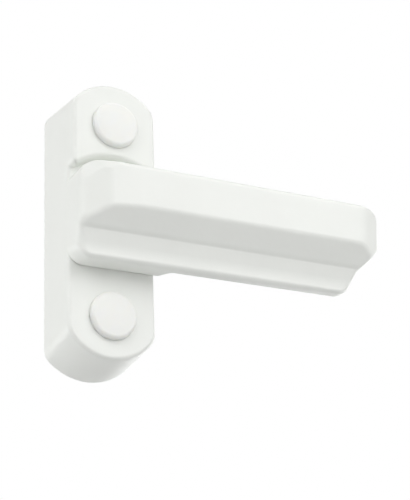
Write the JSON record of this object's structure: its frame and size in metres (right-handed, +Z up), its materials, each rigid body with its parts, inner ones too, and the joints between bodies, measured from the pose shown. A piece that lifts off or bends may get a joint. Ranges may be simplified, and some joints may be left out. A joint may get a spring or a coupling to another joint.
{
  "type": "sash jammer",
  "caption": "Surface-mounted window sash jammer: a tall rounded base with capped screw holes and a stepped arm that swings on a pivot across the sash and holds it shut.",
  "frame": {"origin": "on the pivot axis, in the plane of the mounting face", "axes": "+X along the arm in its locked position, +Y into the window frame that it is screwed to, +Z up along the base"},
  "size_m": [0.074, 0.024, 0.0648],
  "materials": {
    "white_coat": "semi-gloss powder coat on zinc die casting",
    "steel": "zinc plated",
    "bush_nylon": "moulded nylon",
    "cap_plastic": "moulded, satin",
    "pad_rubber": "moulded, matt"
  },
  "bodies": {
    "base_body": {"base": "white_coat", "pivot_bush": "bush_nylon", "back_washer": "steel", "cap_upper": "cap_plastic", "cap_lower": "cap_plastic"},
    "arm_body": {"arm": "white_coat", "pivot_pin": "steel", "disc_spring": "steel", "lock_nut": "steel", "buffer_pad": "pad_rubber"}
  },
  "joints": [
    {"name": "arm_swing", "type": "hinge", "parent": "base_body", "child": "arm_body", "pos_m": [0, 0, 0], "axis": [0, 1, 0], "range_deg": [0, 180]}
  ]
}
